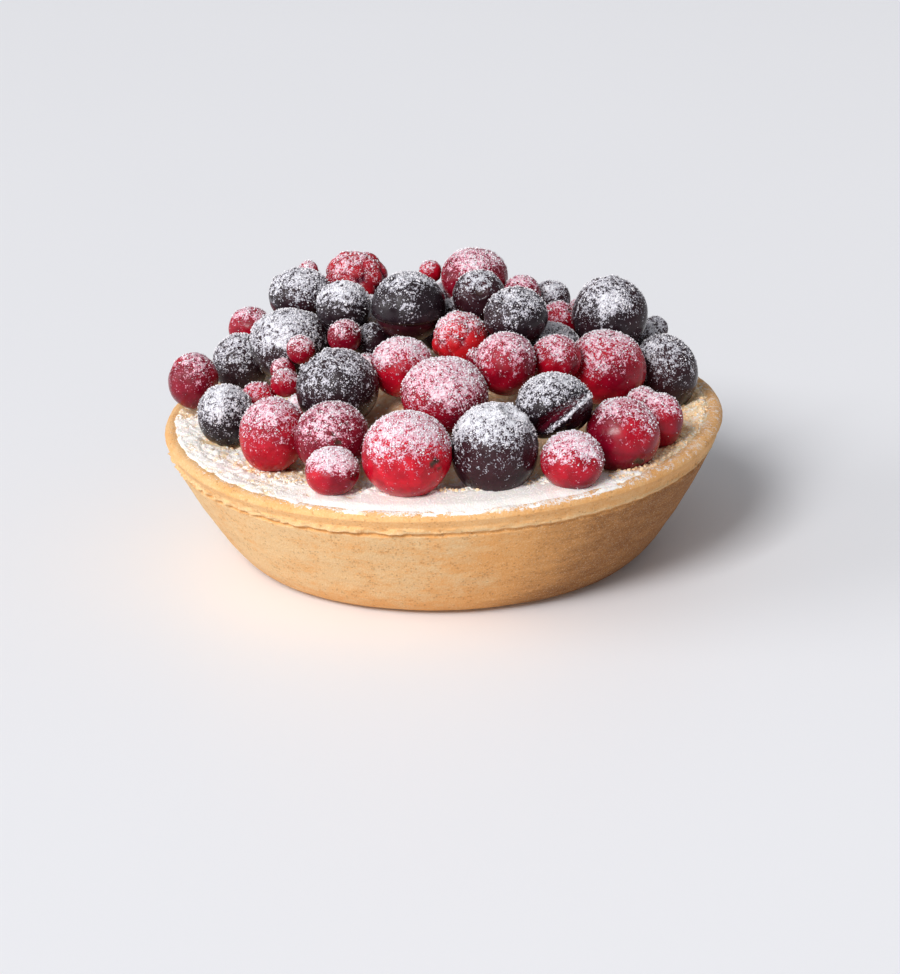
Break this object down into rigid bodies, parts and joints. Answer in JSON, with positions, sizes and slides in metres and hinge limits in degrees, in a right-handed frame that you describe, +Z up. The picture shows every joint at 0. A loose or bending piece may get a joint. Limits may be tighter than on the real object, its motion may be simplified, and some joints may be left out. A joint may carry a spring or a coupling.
{
  "type": "berry tart",
  "caption": "Round single-portion shortcrust tart with a domed almond-crumb filling, heaped with mixed red and dark berries and dusted with icing sugar.",
  "frame": {"origin": "centre of the flat base, where the tart rests", "axes": "+Z up out of the filling; +X to the right and -Y towards the viewer, who sees the front berries"},
  "size_m": [0.1, 0.1, 0.0497],
  "materials": {
    "pastry": "matt, dry, baked golden",
    "almond_crumb": "matt, crumbly, dusted with sugar",
    "cranberry_skin": "glossy and moist under a dusting of sugar",
    "blueberry_skin": "glossy and moist under a dusting of sugar",
    "currant_skin": "glossy under a thick dusting of sugar",
    "raspberry_flesh": "moist, uneven, lightly sugared"
  },
  "bodies": {
    "root": {"crust": "pastry", "filling": "almond_crumb", "cranberry_01": "cranberry_skin", "cranberry_02": "cranberry_skin", "cranberry_03": "cranberry_skin", "cranberry_04": "cranberry_skin", "cranberry_05": "cranberry_skin", "cranberry_06": "cranberry_skin", "cranberry_07": "cranberry_skin", "cranberry_08": "cranberry_skin", "cranberry_09": "cranberry_skin", "cranberry_10": "cranberry_skin", "cranberry_11": "cranberry_skin", "cranberry_12": "cranberry_skin", "cranberry_13": "cranberry_skin", "cranberry_14": "cranberry_skin", "cranberry_15": "cranberry_skin", "cranberry_16": "cranberry_skin", "cranberry_17": "cranberry_skin", "cranberry_18": "cranberry_skin", "cranberry_19": "cranberry_skin", "cranberry_20": "cranberry_skin", "cranberry_21": "cranberry_skin", "cranberry_22": "cranberry_skin", "blueberry_01": "blueberry_skin", "blueberry_02": "blueberry_skin", "blueberry_03": "blueberry_skin", "blueberry_04": "blueberry_skin", "blueberry_05": "blueberry_skin", "blueberry_06": "blueberry_skin", "blueberry_07": "blueberry_skin", "blueberry_08": "blueberry_skin", "blueberry_09": "blueberry_skin", "blueberry_10": "blueberry_skin", "blueberry_11": "blueberry_skin", "blueberry_12": "blueberry_skin", "blueberry_13": "blueberry_skin", "blueberry_14": "blueberry_skin", "blueberry_15": "blueberry_skin", "blueberry_16": "blueberry_skin", "blueberry_17": "blueberry_skin", "blueberry_18": "blueberry_skin", "blueberry_19": "blueberry_skin", "blueberry_20": "blueberry_skin", "blueberry_21": "blueberry_skin", "blueberry_22": "blueberry_skin", "blueberry_23": "blueberry_skin", "currant_01": "currant_skin", "currant_02": "currant_skin", "currant_03": "currant_skin", "currant_04": "currant_skin", "currant_05": "currant_skin", "currant_06": "currant_skin", "currant_07": "currant_skin", "currant_08": "currant_skin", "currant_09": "currant_skin", "raspberry_01": "raspberry_flesh", "raspberry_02": "raspberry_flesh", "pinched_blueberry_01": "blueberry_skin", "split_blueberry_01": "blueberry_skin"}
  },
  "joints": []
}
